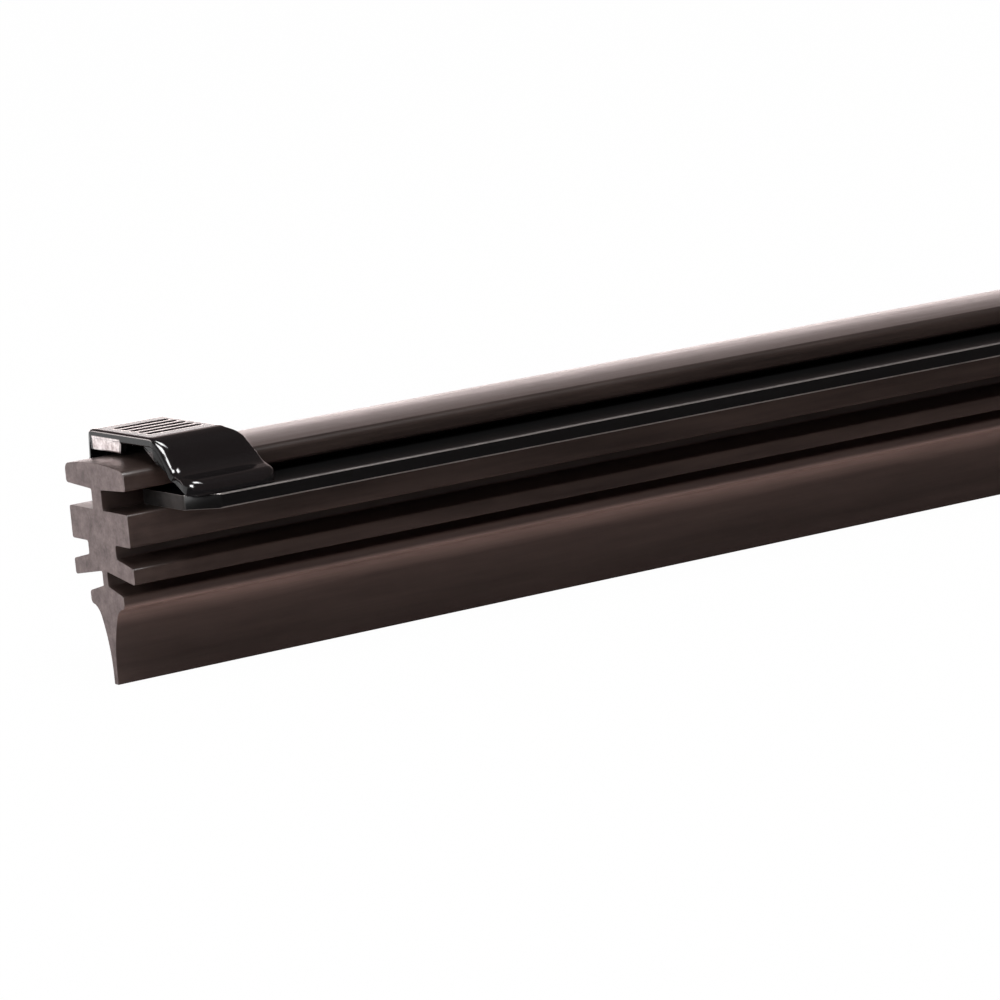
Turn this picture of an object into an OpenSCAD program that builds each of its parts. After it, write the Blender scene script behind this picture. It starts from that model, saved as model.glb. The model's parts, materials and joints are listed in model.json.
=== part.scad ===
// Wiper blade refill for a long windscreen wiper.
// A rubber profile hangs between two flat steel backing strips, and a bent sheet clip bridges
// the strips at each end. The frame's claws grip the strips' outer edges.
// X runs along the blade, Z points up from the wiping lip, and the origin is in the middle of
// the blade, half way up the thickness of the strips.

/* [Rubber length and head] */
// Length of the rubber from end to end
rubber_len = 300; // [150:5:900]
// Width of the head above the strips
head_w = 7.1; // [5:0.1:9]
// Height of the head at its middle
head_h = 1.55; // [1.2:0.05:2.5]
// How far the head's crowned top drops from the middle to its edges
head_crown = 0.28; // [0.1:0.02:0.4]
// How far the head's underside rises from the neck to its edges
head_lift = 0.15; // [0:0.01:0.3]
// Radius of the head's top edges
head_top_r = 0.45; // [0.1:0.05:0.5]
// Radius of the head's lower edges
head_low_r = 0.22; // [0.05:0.01:0.3]
// Width of the neck between the strips
neck_w = 1.16; // [0.8:0.02:2]
// Radius of the corners inside the slots
slot_r = 0.12; // [0.05:0.01:0.2]

/* [Rubber body and wings] */
// Width of the body under the strips
body_w = 6.95; // [5:0.05:9]
// Height of the body
body_h = 1.95; // [1:0.05:3]
// Radius of the body's edges
body_r = 0.15; // [0.05:0.01:0.3]
// Width of the waist between body and wings
waist_w = 3.3; // [2:0.1:4.5]
// Height of the waist
waist_h = 0.8; // [0.5:0.05:1.5]
// Radius of the corners at the waist
waist_r = 0.16; // [0.05:0.01:0.2]
// Width over the wing tips
wing_w = 7.1; // [5.5:0.1:9]
// Thickness of the wings at their tips
wing_t = 0.97; // [0.5:0.01:1.5]
// How far the wings droop from waist to tip
wing_droop = 0.42; // [0.1:0.02:0.8]
// Height of the web from the waist's foot to the hinge
web_h = 0.88; // [0.6:0.02:1.4]

/* [Hinge and wiping lip] */
// Thickness of the hinge that lets the lip flip over
hinge_w = 0.6; // [0.3:0.05:1]
// Height of the hinge
hinge_h = 0.87; // [0.5:0.01:1.5]
// Radius of the corners at the hinge
hinge_r = 0.1; // [0.04:0.01:0.15]
// Width of the lip's shoulder
shoulder_w = 4; // [3:0.1:5]
// Height of the shoulder's side
shoulder_h = 0.74; // [0.5:0.02:1.2]
// How far the shoulder's top droops towards its sides
shoulder_droop = 0.45; // [0.1:0.05:0.8]
// Radius of the shoulder's edges
shoulder_r = 0.22; // [0.05:0.01:0.24]
// Height of the lip from the hinge to the wiping edge
lip_h = 5.86; // [5.6:0.02:8]
// Thickness of the wiping edge
lip_edge_w = 0.45; // [0.3:0.05:0.8]
// Radius of the cove under the shoulder
cove_r = 1.15; // [0.8:0.05:1.25]
// Lean of the lip's side where the cove starts, in degrees
flank_angle = 24; // [12:1:26]

/* [Backing strips] */
// Thickness of the steel
strip_t = 0.9; // [0.5:0.05:1.5]
// Width over both strips, which the claws grip
rail_w = 14.2; // [12.5:0.1:18]
// Space left above the strips in the slots
slot_gap = 0.3; // [0.1:0.05:0.6]
// Space between each strip and the rounded corner beside the neck
strip_gap = 0.05; // [0.02:0.01:0.3]
// How far the strips end inside the rubber's ends
strip_inset = 2.62; // [1:0.02:6]
// Chamfer of the strips' outer corners
strip_chamfer = 1.6; // [0.3:0.1:2.2]

/* [End clips] */
// Thickness of the clip's top and skirts
clip_t = 0.6; // [0.4:0.05:0.7]
// Space between the head's top and the clip
clip_rise = 0.83; // [0.4:0.01:1.5]
// How far the clip's top reaches past the head on each side
clip_overhang = 0.7; // [0.5:0.05:1.2]
// Slope of the clip's skirts, in degrees
skirt_angle = 66.5; // [60:0.5:80]
// Height of the skirts' lower ends above the strips
skirt_foot_h = 1.55; // [1.3:0.05:1.8]
// Bend radius at the clip's top, outside
top_bend_r = 1.4; // [0.8:0.05:1.6]
// Bend radius between skirt and foot
foot_bend_r = 0.45; // [0.2:0.05:0.6]
// Height of the feet at their outer edges
foot_rim_h = 0.8; // [0.5:0.05:1]
// Radius of the feet's upper outer edges
foot_rim_r = 0.3; // [0.1:0.05:0.4]
// Width of the flat seats under the feet
seat_w = 0.85; // [0.5:0.05:1.2]
// How far the feet stop inside the strips' outer edges
foot_gap = 0.15; // [0.05:0.05:0.4]
// How far the clip's top stands out past the strips' ends
clip_lead = 0.67; // [0:0.01:0.9]
// Length of the clip's top
clip_top_len = 5.1; // [4.5:0.1:8]
// How far the clip's front edge runs back from the top to the feet
front_sweep = 0.5; // [0.2:0.05:0.8]
// How far the clip's rear edge runs back from the top to the feet
rear_sweep = 1.3; // [0.4:0.05:1.6]
// Radius of the feet's front corners
foot_front_r = 1.15; // [0.5:0.05:1.4]
// Radius of the feet's rear corners
foot_rear_r = 0.6; // [0.3:0.05:1]
// Radius of the corners where the top meets the skirts
top_corner_r = 0.45; // [0.1:0.05:0.5]

/* [Tab and lip at the clip's front] */
// Thickness of the tab, and of the lip beside the skirt
tab_t = 0.45; // [0.3:0.05:0.6]
// Width of the tab that is bent down over the rubber's head
tab_w = 3.8; // [2:0.05:3.9]
// Space between the tab and the head
tab_gap = 0.2; // [0.05:0.01:0.3]
// Slant of the tab's inner side
tab_slant = 0.3; // [0:0.05:0.5]
// How far the lip in the other corner reaches in under the clip's top
lip_reach = 2.25; // [1.2:0.05:2.6]

/* [Grip grooves] */
// Number of grooves pressed in the clip's top
groove_count = 5; // [3:1:6]
// Width of one groove
groove_w = 0.36; // [0.2:0.02:0.5]
// Length of one groove
groove_len = 3.5; // [2:0.1:4]
// Depth of the grooves
groove_depth = 0.16; // [0.05:0.01:0.2]
// Distance from one groove to the next
groove_pitch = 0.98; // [0.6:0.02:1]

/* [Hidden] */
rubber_color = "#2e2827";
steel_color = "#4a4a4e";
clip_color = "#1d1d20";
// Segments of one rounded corner, of the crown's half, of the cove and of the lip's long flank
corner_steps = 4;
crown_steps = 5;
cove_steps = 8;
flank_steps = 7;
// Room that a cutting shape needs past the faces it cuts
cut_room = 1;

// Heights, from the strips' top face upwards
slot_top_z = strip_t / 2 + slot_gap;
head_top_z = slot_top_z + head_h;
// Heights, from the strips' underside down to the wiping edge
seat_z = -strip_t / 2;
body_low_z = seat_z - body_h;
waist_low_z = body_low_z - waist_h;
web_low_z = waist_low_z - web_h;
lip_top_z = web_low_z - hinge_h;
edge_z = lip_top_z - lip_h;

// The cove's centre is straight under the shoulder's side
cove_z = lip_top_z - shoulder_droop - shoulder_h - cove_r;
// Where the cove ends and the long flank starts
flank_top = [shoulder_w / 2 - cove_r * cos(flank_angle), cove_z + cove_r * sin(flank_angle)];
flank_r = (flank_top[0] - lip_edge_w / 2) / (1 - cos(flank_angle));
flank_z = flank_top[1] - flank_r * sin(flank_angle);

// Outer corners of the clip, from its top down to the feet
clip_top_y = head_w / 2 + clip_overhang;
clip_top_z = head_top_z + clip_rise + clip_t;
seat_top_z = strip_t / 2;
skirt_foot_z = seat_top_z + skirt_foot_h;
skirt_foot_y = clip_top_y + (clip_top_z - skirt_foot_z) / tan(skirt_angle);
foot_y = rail_w / 2 - foot_gap;
foot_rim_z = seat_top_z + foot_rim_h;
foot_angle = atan2(skirt_foot_z - foot_rim_z, foot_y - skirt_foot_y);

function unit(v) = v / norm(v);
function half_tan(a) = tan(a / 2);
function backwards(list) = [for (i = [len(list) - 1:-1:0]) list[i]];

// The corner b between a and c, rounded to radius r by an arc of n segments
function rounded_corner(a, b, c, r, n) =
    r <= 0 ? [b] :
    let (
        u = unit(a - b),
        v = unit(c - b),
        half = acos(u * v) / 2,
        centre = b + unit(u + v) * r / sin(half),
        from = b + u * r / tan(half) - centre,
        to = b + v * r / tan(half) - centre,
        start = atan2(from[1], from[0]),
        sweep = (atan2(to[1], to[0]) - start + 540) % 360 - 180
    )
    [for (i = [0:n]) centre + r * [cos(start + sweep * i / n), sin(start + sweep * i / n)]];

function point(p) = [p[0], p[1]];

// A closed outline from corners written as [across, up, radius]
function rounded(corners) =
    let (n = len(corners))
    [for (i = [0:n - 1])
        each rounded_corner(
            point(corners[(i + n - 1) % n]), point(corners[i]), point(corners[(i + 1) % n]),
            corners[i][2], corner_steps)];

// The mirror image of a half outline, in the order that closes it
function mirrored(corners, skip) =
    backwards([for (i = [skip:len(corners) - 1]) [-corners[i][0], corners[i][1], corners[i][2]]]);

// Extrudes an outline drawn across and up by len along X, starting at x
module along_x(x, len) {
    translate([x, 0, 0]) rotate([90, 0, 90]) linear_extrude(len) children();
}

// Half of the crowned top of the head, from the middle outwards
function crown() =
    let (r = (head_w * head_w / 4 + head_crown * head_crown) / (2 * head_crown))
    [for (i = [0:crown_steps])
        let (y = head_w / 2 * i / crown_steps)
        [y, head_top_z - r + sqrt(r * r - y * y), i == crown_steps ? head_top_r : 0]];

// Half of the lip's concave side, from the shoulder down to where the edge's flat land starts
function lip_side() = concat(
    [for (i = [1:cove_steps])
        let (a = 90 + (90 - flank_angle) * i / cove_steps)
        [shoulder_w / 2 + cove_r * cos(a), cove_z + cove_r * sin(a), 0]],
    [for (i = [1:flank_steps])
        let (a = 180 - flank_angle * (1 - i / flank_steps))
        [lip_edge_w / 2 + flank_r + flank_r * cos(a), flank_z + flank_r * sin(a), 0]]);

// Half of the rubber's section, from the top's middle round to the wiping edge
function half_section() = concat(
    crown(),
    [
        [head_w / 2, slot_top_z + head_lift, head_low_r],
        [neck_w / 2, slot_top_z, slot_r],
        [neck_w / 2, seat_z, slot_r],
        [body_w / 2, seat_z, body_r],
        [body_w / 2, body_low_z, body_r],
        [waist_w / 2, body_low_z, waist_r],
        [waist_w / 2, waist_low_z, waist_r],
        [wing_w / 2, waist_low_z - wing_droop, body_r],
        [wing_w / 2, waist_low_z - wing_droop - wing_t, body_r],
        [hinge_w / 2, web_low_z, hinge_r],
        [hinge_w / 2, lip_top_z, hinge_r],
        [shoulder_w / 2, lip_top_z - shoulder_droop, shoulder_r],
        [shoulder_w / 2, cove_z + cove_r, 0]
    ],
    lip_side(),
    [[lip_edge_w / 2, edge_z, 0]]);

module wiping_rubber() {
    color(rubber_color)
        along_x(-rubber_len / 2, rubber_len)
            polygon(rounded(concat(half_section(), mirrored(half_section(), 1))));
}

// One strip, on the far side, with its outer corners cut off in plan
module backing_strip() {
    end = rubber_len / 2 - strip_inset;
    inner = neck_w / 2 + slot_r + strip_gap;
    outer = rail_w / 2;
    color(steel_color)
        translate([0, 0, -strip_t / 2])
            linear_extrude(strip_t)
                polygon([
                    [-end, inner],
                    [end, inner],
                    [end, outer - strip_chamfer],
                    [end - strip_chamfer, outer],
                    [strip_chamfer - end, outer],
                    [-end, outer - strip_chamfer]
                ]);
}

// The clip's blank seen from above, with X counted from the front edge of its top
function clip_plan() =
    let (
        rear = clip_top_len + rear_sweep,
        half = [
            [0, clip_top_y - top_corner_r, top_corner_r],
            [front_sweep, skirt_foot_y, top_corner_r],
            [front_sweep, foot_y, foot_front_r],
            [rear, foot_y, foot_rear_r],
            [rear, skirt_foot_y, top_corner_r],
            [clip_top_len, clip_top_y - top_corner_r, top_corner_r]
        ]
    )
    concat(half, backwards([for (p = half) [p[0], -p[1], p[2]]]));

// Half of the clip's section: top, skirt, foot, seat, and back up along the inside
function clip_half() =
    let (
        inner_top_z = clip_top_z - clip_t,
        inner_top_y = clip_top_y - clip_t * half_tan(skirt_angle),
        turn = skirt_angle - foot_angle,
        inner_foot = [skirt_foot_y, skirt_foot_z]
            - clip_t * [sin(skirt_angle), cos(skirt_angle)]
            - clip_t * half_tan(turn) * [-cos(skirt_angle), sin(skirt_angle)]
    )
    [
        [clip_top_y, clip_top_z, top_bend_r],
        [skirt_foot_y, skirt_foot_z, foot_bend_r],
        [foot_y, foot_rim_z, foot_rim_r],
        [foot_y, seat_top_z, 0],
        [foot_y - seat_w, seat_top_z, 0],
        [inner_foot[0], inner_foot[1], foot_bend_r],
        [inner_top_y, inner_top_z, top_bend_r - clip_t]
    ];

// The lip that fills the front corner between the top and one skirt, from mid-sheet to mid-sheet
function clip_lip() =
    let (
        half = clip_half(),
        corner = (point(half[0]) + point(half[6])) / 2,
        foot = point(half[5]) + (point(half[1]) - point(half[5])) / 4
    )
    [
        [-corner[0], corner[1]],
        [-foot[0], foot[1]],
        [lip_reach - clip_top_y, clip_top_z - clip_t / 2]
    ];

// The bridge: feet on the strips, steep skirts and a flat top over the head
module clip_bridge() {
    full_len = clip_top_len + rear_sweep;
    intersection() {
        union() {
            along_x(-cut_room, full_len + 2 * cut_room)
                polygon(rounded(concat(clip_half(), mirrored(clip_half(), 0))));
            along_x(-cut_room, front_sweep / 2 + tab_t + cut_room)
                polygon(clip_lip());
        }
        linear_extrude(clip_top_z + cut_room)
            polygon(rounded(clip_plan()));
    }
}

// The tab on one half of the front edge, bent down to just above the head
module clip_tab() {
    low = head_top_z + tab_gap;
    high = clip_top_z - clip_t / 2;
    along_x(0, tab_t)
        polygon([
            [tab_slant, low],
            [tab_w, low],
            [tab_w, high],
            [0, high]
        ]);
}

// One groove with round ends, cut from above
module grip_groove() {
    run = groove_len - groove_w;
    translate([0, 0, clip_top_z - groove_depth]) {
        translate([-run / 2, -groove_w / 2, 0]) cube([run, groove_w, groove_depth + cut_room]);
        for (x = [-run / 2, run / 2])
            translate([x, 0, 0]) cylinder(h = groove_depth + cut_room, d = groove_w, $fn = 24);
    }
}

module end_clip() {
    color(clip_color)
        translate([strip_inset - clip_lead - rubber_len / 2, 0, 0])
            difference() {
                union() {
                    clip_bridge();
                    clip_tab();
                }
                for (i = [0:groove_count - 1])
                    translate([clip_top_len / 2, (i - (groove_count - 1) / 2) * groove_pitch, 0])
                        grip_groove();
            }
}

wiping_rubber();
mirror([0, 1, 0]) backing_strip();  // backing_strip_front
backing_strip();  // backing_strip_back
end_clip();  // end_clip_left
rotate([0, 0, 180]) end_clip();  // end_clip_right
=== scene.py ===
# %% [markdown]
# # Wiper blade refill
# A black rubber profile hangs between two flat steel strips, and a bent sheet clip bridges the
# strips at each end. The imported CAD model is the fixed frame. The strips keep their CAD solids.
# The rubber and the clips are made again here from the same measures, because their soft edges
# and fine marks are too small for the CAD source.

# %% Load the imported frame
import json
import math

import bmesh
import bpy
from mathutils import Matrix, Vector, noise

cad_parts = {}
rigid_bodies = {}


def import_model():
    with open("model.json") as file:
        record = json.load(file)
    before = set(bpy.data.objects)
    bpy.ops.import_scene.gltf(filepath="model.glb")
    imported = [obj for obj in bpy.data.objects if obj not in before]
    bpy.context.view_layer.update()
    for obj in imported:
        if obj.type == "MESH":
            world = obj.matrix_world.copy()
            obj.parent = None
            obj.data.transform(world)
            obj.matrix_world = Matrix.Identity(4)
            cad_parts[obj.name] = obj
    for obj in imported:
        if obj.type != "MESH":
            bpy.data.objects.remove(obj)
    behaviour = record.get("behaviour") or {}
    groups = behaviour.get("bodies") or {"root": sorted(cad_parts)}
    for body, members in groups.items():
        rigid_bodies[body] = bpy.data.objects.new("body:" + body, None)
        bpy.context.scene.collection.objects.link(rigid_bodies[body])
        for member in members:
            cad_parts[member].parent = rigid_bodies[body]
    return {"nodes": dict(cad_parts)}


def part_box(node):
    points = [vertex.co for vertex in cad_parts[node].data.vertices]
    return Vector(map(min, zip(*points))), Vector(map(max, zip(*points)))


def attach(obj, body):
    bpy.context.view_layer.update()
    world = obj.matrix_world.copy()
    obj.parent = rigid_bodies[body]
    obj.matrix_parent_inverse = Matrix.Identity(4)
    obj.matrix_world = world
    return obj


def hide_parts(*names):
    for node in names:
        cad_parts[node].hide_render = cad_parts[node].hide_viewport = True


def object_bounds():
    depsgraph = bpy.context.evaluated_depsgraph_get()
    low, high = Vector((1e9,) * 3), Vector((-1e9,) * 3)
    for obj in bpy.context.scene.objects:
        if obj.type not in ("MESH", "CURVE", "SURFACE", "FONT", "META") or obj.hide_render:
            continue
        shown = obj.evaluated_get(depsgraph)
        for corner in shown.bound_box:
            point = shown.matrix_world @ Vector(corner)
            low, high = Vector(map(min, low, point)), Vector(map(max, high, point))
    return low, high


for thing in list(bpy.data.objects):
    bpy.data.objects.remove(thing, do_unlink=True)
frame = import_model()
cad_low, cad_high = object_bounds()
print("CAD box in mm:", [round(v * 1000, 2) for v in (*cad_low, *cad_high)])

# %% [markdown]
# ## Measures
# Every length below is written in millimetres, as a drawing would give it, and one factor turns
# it into Blender's metres. Colours are written as hex values, as a paint chart gives them, and
# one function turns them into the linear values that the shader works in.

# %% Millimetres and colours
MM = 0.001


def linear(hex_colour):
    """The linear red, green, blue and alpha of an sRGB hex colour."""
    parts = [int(hex_colour[i:i + 2], 16) / 255 for i in (1, 3, 5)]
    return [p / 12.92 if p <= 0.04045 else ((p + 0.055) / 1.055) ** 2.4 for p in parts] + [1.0]


# %% [markdown]
# ## Rounded corners
# Both the rubber's section and the clip's sheet are outlines with rounded corners. A bevel
# modifier could round the finished meshes, but it has one width for all edges, and here every
# corner has its own. So one function rounds a list of corners, each written as across, up and
# radius. Every edge then catches the light as a moulded or bent edge does.

# %% Rounding an outline
def rounded(corners, steps, closed=True):
    """The points of an outline whose corners [across, up, radius] are rounded by short arcs."""
    points = []
    count = len(corners)
    for i, (across, up, radius) in enumerate(corners):
        here = Vector((across, up))
        if radius == 0 or not closed and i in (0, count - 1):
            points.append(here)
            continue
        before = (Vector(corners[i - 1][:2]) - here).normalized()
        after = (Vector(corners[(i + 1) % count][:2]) - here).normalized()
        half = before.angle(after) / 2
        centre = here + (before + after).normalized() * radius / math.sin(half)
        start = here + before * radius / math.tan(half) - centre
        end = here + after * radius / math.tan(half) - centre
        turn = start.angle_signed(end)
        for k in range(steps + 1):
            points.append(centre + Matrix.Rotation(-turn * k / steps, 2) @ start)
    return points


# %% [markdown]
# ## The rubber's section
# The real profile is one extrusion: a head above the strips, a neck between them, a body, a
# waist, two wings, a thin hinge and the wiping lip. It could be stacked from boxes, but the die
# makes one closed outline with soft corners, so half of that outline is written down from the
# head's crown to the wiping edge, and then mirrored.

# %% Heights and half widths of the section
# Heights are counted from the middle of the strips' thickness
HEAD_TOP = 2.3
SLOT_TOP = 0.75
STRIP_HALF = 0.45
BODY_LOW = -2.4
WAIST_LOW = -3.2
WEB_LOW = -4.08
LIP_TOP = -4.95
WIPING_EDGE = -10.81
# Half widths are counted from the blade's middle line
HEAD_HALF = 3.55
NECK_HALF = 0.58
BODY_HALF = 3.475
WAIST_HALF = 1.65
WING_HALF = 3.55
HINGE_HALF = 0.3
SHOULDER_HALF = 2.0
EDGE_HALF = 0.225
print("rubber:", round(HEAD_TOP - WIPING_EDGE, 2), "mm high,", 2 * HEAD_HALF, "mm wide")

# %% [markdown]
# ## The curves of the section
# Three parts of the outline are long curves: the crown of the head, the cove under the lip's
# shoulder, and the hollow flank that runs down to the wiping edge. A spline would only come near
# them, so they are true arcs, and each one takes off from the last without a kink.

# %% Crown, cove and flank
CROWN = 0.28
CROWN_STEPS = 10
HEAD_CORNER = 0.45
SHOULDER_DROOP = 0.45
SHOULDER_SIDE = 0.74
COVE_RADIUS = 1.15
COVE_STEPS = 14
# The first steps of the cove give way to the shoulder's soft lower edge
COVE_FIRST = 4
FLANK_LEAN = math.radians(24)
FLANK_STEPS = 16

crown_radius = (HEAD_HALF ** 2 + CROWN ** 2) / (2 * CROWN)
crown = []
for i in range(CROWN_STEPS + 1):
    across = HEAD_HALF * i / CROWN_STEPS
    up = HEAD_TOP - crown_radius + math.sqrt(crown_radius ** 2 - across ** 2)
    crown.append([across, up, HEAD_CORNER if i == CROWN_STEPS else 0])

cove_up = LIP_TOP - SHOULDER_DROOP - SHOULDER_SIDE - COVE_RADIUS
flank_start = SHOULDER_HALF - COVE_RADIUS * math.cos(FLANK_LEAN)
flank_radius = (flank_start - EDGE_HALF) / (1 - math.cos(FLANK_LEAN))
flank_up = cove_up + (COVE_RADIUS - flank_radius) * math.sin(FLANK_LEAN)
lip = []
for i in range(COVE_FIRST, COVE_STEPS + 1):
    a = math.pi / 2 + (math.pi / 2 - FLANK_LEAN) * i / COVE_STEPS
    lip.append([SHOULDER_HALF + COVE_RADIUS * math.cos(a), cove_up + COVE_RADIUS * math.sin(a), 0])
for i in range(1, FLANK_STEPS + 1):
    a = math.pi - FLANK_LEAN * (1 - i / FLANK_STEPS)
    lip.append([
        EDGE_HALF + flank_radius * (1 + math.cos(a)),
        flank_up + flank_radius * math.sin(a), 0])
print("flank radius:", round(flank_radius, 2), "mm")

# %% [markdown]
# ## The whole section
# Between the curves lie straight sides with small corners. Each row below gives a corner's
# distance from the middle line, its height and its radius, which is how a die drawing lists them.

# %% Half a section, and its mirror image
CORNER_STEPS = 6
UNDERSIDE_RISE = 0.15
WING_DROOP = 0.42
WING_THICK = 0.97

half_section = crown + [
    [HEAD_HALF, SLOT_TOP + UNDERSIDE_RISE, 0.22],
    [NECK_HALF, SLOT_TOP, 0.12],
    [NECK_HALF, -STRIP_HALF, 0.12],
    [BODY_HALF, -STRIP_HALF, 0.15],
    [BODY_HALF, BODY_LOW, 0.15],
    [WAIST_HALF, BODY_LOW, 0.16],
    [WAIST_HALF, WAIST_LOW, 0.16],
    [WING_HALF, WAIST_LOW - WING_DROOP, 0.15],
    [WING_HALF, WAIST_LOW - WING_DROOP - WING_THICK, 0.15],
    [HINGE_HALF, WEB_LOW, 0.1],
    [HINGE_HALF, LIP_TOP, 0.1],
    [SHOULDER_HALF, LIP_TOP - SHOULDER_DROOP, 0.22],
    [SHOULDER_HALF, cove_up + COVE_RADIUS, 0.32],
] + lip + [[EDGE_HALF, WIPING_EDGE, 0.05]]
other_half = [[-across, up, radius] for across, up, radius in reversed(half_section[1:])]
section = rounded(half_section + other_half, CORNER_STEPS)
print("rubber section:", len(section), "points")

# %% [markdown]
# ## Stations along the rubber
# A long extrusion is never dead straight: its free lip wavers by a few hundredths of a
# millimetre, and the knife that cuts it to length leaves slightly soft rims. A curve object with
# a bevel profile could sweep the outline, but neither of these marks. So the outline is repeated
# at many stations along X, and drawn in at the ends.

# %% Stations and soft rims
STATION_GAP = 1.5
RIM = 0.03
RIM_STEPS = 3

rubber_low, rubber_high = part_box("wiping_rubber")
end_x = rubber_high.x / MM


def drawn_in(outline, depth):
    """The outline moved inwards by depth."""
    area = sum(a.x * b.y - b.x * a.y for a, b in zip(outline, outline[1:] + outline[:1]))
    moved = []
    for i, p in enumerate(outline):
        way = (outline[(i + 1) % len(outline)] - outline[i - 1]).normalized()
        moved.append(p + Vector((-way.y, way.x)) * math.copysign(depth, area))
    return moved


def rim_arc(radius, steps):
    """How far back and how deep each ring of a rounded rim lies, from the end face outwards."""
    turns = [math.radians(90 * k / steps) for k in range(steps + 1)]
    return [(radius * (1 - math.cos(a)), radius * (1 - math.sin(a))) for a in turns]


rims = [(-end_x + back, depth) for back, depth in rim_arc(RIM, RIM_STEPS)]
inner_count = round(2 * end_x / STATION_GAP)
middles = [(-end_x + 2 * end_x * i / inner_count, 0) for i in range(1, inner_count)]
stations = rims + middles + [(-x, depth) for x, depth in reversed(rims)]
print("stations:", len(stations))

# %% [markdown]
# ## Sweeping the rubber
# At each station the outline becomes a ring of vertices, and neighbouring rings are joined with
# quads. A slow noise moves the lip, none at the hinge and most at the wiping edge.

# %% Rings of vertices, joined with quads
LIP_WAVER = 0.05
WAVER_LENGTH = 35
WAVER_GROWTH = 1.5
WAVER_SEED = 3.1


def wavered(x, across, up):
    """A section point with the slow waver that grows from the hinge to the wiping edge."""
    free = min(max((LIP_TOP - up) / (LIP_TOP - WIPING_EDGE), 0), 1)
    wave = noise.noise(Vector((x / WAVER_LENGTH, WAVER_SEED, 0)))
    sway = wave * LIP_WAVER * free ** WAVER_GROWTH
    return Vector((x, across + sway, up)) * MM


def skinned(mesh, rings, closed=True):
    """Joins each ring of points to the next with quads."""
    for here, there in zip(rings, rings[1:]):
        for i in range(len(here) if closed else len(here) - 1):
            j = (i + 1) % len(here)
            mesh.faces.new((here[i], here[j], there[j], there[i]))


rubber_mesh = bmesh.new()
rings = []
for x, depth in stations:
    outline = drawn_in(section, depth) if depth else section
    rings.append([rubber_mesh.verts.new(wavered(x, p.x, p.y)) for p in outline])
skinned(rubber_mesh, rings)
end_faces = [rubber_mesh.faces.new(ring) for ring in (rings[0], rings[-1])]
bmesh.ops.recalc_face_normals(rubber_mesh, faces=rubber_mesh.faces)
bmesh.ops.triangulate(rubber_mesh, faces=end_faces)
print("rubber mesh:", len(rubber_mesh.verts), "vertices")

# %% [markdown]
# ## From a mesh to a piece
# Flat shading would show every strip of the arcs, and smooth shading alone would smear the light
# round the sharp corners. So the faces are smooth, and the edges that bend by more than a given
# angle are marked sharp.

# %% The rubber as an object
def finished_piece(name, mesh, sharp_angle):
    """Turns a bmesh into a smooth-shaded object whose creases over sharp_angle stay crisp."""
    data = bpy.data.meshes.new(name)
    mesh.to_mesh(data)
    mesh.free()
    data.shade_smooth()
    data.set_sharp_from_angle(angle=math.radians(sharp_angle))
    # A face that looks straight along the blade is a cut or pressed end, and stays flat
    for face in data.polygons:
        face.use_smooth = abs(face.normal.x) < 0.9999
    piece = bpy.data.objects.new(name, data)
    bpy.context.scene.collection.objects.link(piece)
    print(name, "has", len(data.polygons), "faces")
    return piece


rubber_profile = finished_piece("rubber_profile", rubber_mesh, sharp_angle=25)

# %% [markdown]
# ## The clip's section
# The real clip is a pressed piece: a flat top over the rubber's head, steep skirts, and feet that
# lie on both strips. A plane with a solidify modifier would give a sheet of even thickness, but
# the two faces aren't parallel at the feet. So both faces are written down, corner by corner, and
# cut into the same number of points. A pair of points then stands for the sheet at that place.

# %% Outer and inner face, from the middle of the top to the seat
SHEET = 0.6
CLIP_RISE = 0.83
CLIP_TOP = HEAD_TOP + CLIP_RISE + SHEET
SEAT = STRIP_HALF
TOP_HALF = 4.25
FOOT_HALF = 6.95
FOOT_HIGH = 0.8
SEAT_WIDE = 0.85
# Each row is a corner: its distance from the middle line, its height and its radius
OUTER = [
    [0, CLIP_TOP, 0],
    [TOP_HALF, CLIP_TOP, 1.4],
    [5.16, 1.6, 1.2],
    [FOOT_HALF, SEAT + FOOT_HIGH, 0.72],
    [FOOT_HALF, SEAT, 0.08],
    [FOOT_HALF - 0.2, SEAT, 0],
]
INNER = [
    [0, CLIP_TOP - SHEET, 0],
    [3.857, CLIP_TOP - SHEET, 0.8],
    [4.66, 1.28, 0.45],
    [FOOT_HALF - SEAT_WIDE, SEAT, 0.02],
    [FOOT_HALF - 0.4, SEAT, 0.02],
    [FOOT_HALF - 0.3, SEAT, 0],
]
# Parts that each straight leg of the face is cut into, from the top to the seat
LEGS = [34, 8, 16, 5, 2]
CORNER_PARTS = 10
# On the flat seat, where the inner face has no corner, the points just move on by this much
SEAT_STEP = 0.008


def cut_face(corners):
    """The face's points: every leg in its own number of parts, every corner in CORNER_PARTS."""
    points = [Vector(corners[0][:2])]
    for k, parts in enumerate(LEGS):
        if k < len(LEGS) - 1:
            a, b, c = corners[k:k + 3]
            if a[1] == b[1] == c[1]:
                arc = [Vector((b[0] + SEAT_STEP * i, b[1])) for i in range(CORNER_PARTS + 1)]
            else:
                arc = rounded([[*a[:2], 0], b, [*c[:2], 0]], CORNER_PARTS, closed=False)[1:-1]
            target = arc[0]
        else:
            arc = []
            target = Vector(corners[k + 1][:2])
        start = points[-1]
        points += [start.lerp(target, i / parts) for i in range(1, parts + 1)] + arc[1:]
    return points


half_pairs = list(zip(cut_face(OUTER), cut_face(INNER)))
flip = Vector((-1, 1))
pairs = [(o * flip, i * flip) for o, i in reversed(half_pairs[1:])] + half_pairs
print("clip section:", len(pairs), "pairs of points")

# %% [markdown]
# ## The clip's blank
# Before it is bent, the clip is a blank cut from sheet. Seen from above, its front and rear edges
# run back from the top to the feet, whose corners are well rounded. A boolean cut would leave
# ragged faces on the bends, so the blank's outline only tells each pair of points where the sheet
# starts and ends.

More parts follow.
